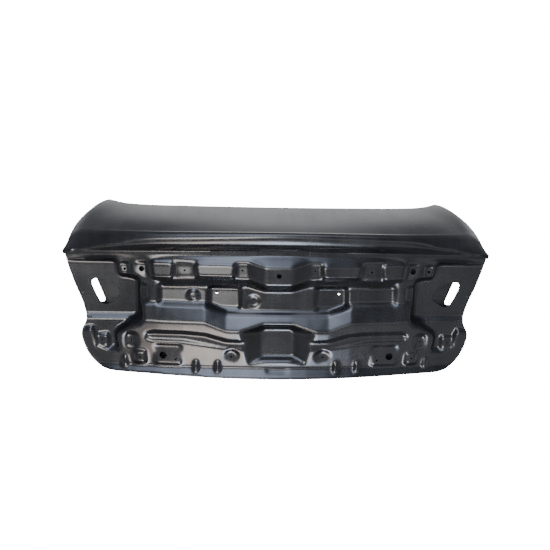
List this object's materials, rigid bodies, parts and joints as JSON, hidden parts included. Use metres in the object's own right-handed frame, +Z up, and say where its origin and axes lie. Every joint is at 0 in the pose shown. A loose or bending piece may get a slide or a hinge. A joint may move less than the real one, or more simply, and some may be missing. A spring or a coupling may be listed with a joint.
{
  "type": "car trunk lid",
  "caption": "Bare sheet-steel car trunk lid: a lipped upper skin and a deep-drawn back panel hemmed over a ribbed inner panel with hinge and latch fixings.",
  "frame": {"origin": "centre of the four hinge bolts, on the lower face of the inner panel's hinge seats", "axes": "+X across the car, +Y towards the car's front, +Z up, with the lid shut"},
  "size_m": [1.3796, 0.4271, 0.5221],
  "materials": {
    "coated_steel": "satin electrocoat",
    "coated_steel_inner": "satin electrocoat",
    "weld_nut_steel": "satin electrocoat",
    "anti_flutter_mastic": "matte"
  },
  "bodies": {
    "root": {"skin": "coated_steel", "back_panel": "coated_steel", "inner_panel": "coated_steel_inner", "hinge_reinforcement_left": "coated_steel_inner", "hinge_reinforcement_right": "coated_steel_inner", "hinge_weld_nuts": "weld_nut_steel", "latch_reinforcement": "coated_steel_inner", "latch_weld_nuts": "weld_nut_steel", "trim_weld_nuts": "weld_nut_steel", "mastic_drops": "anti_flutter_mastic"}
  },
  "joints": []
}
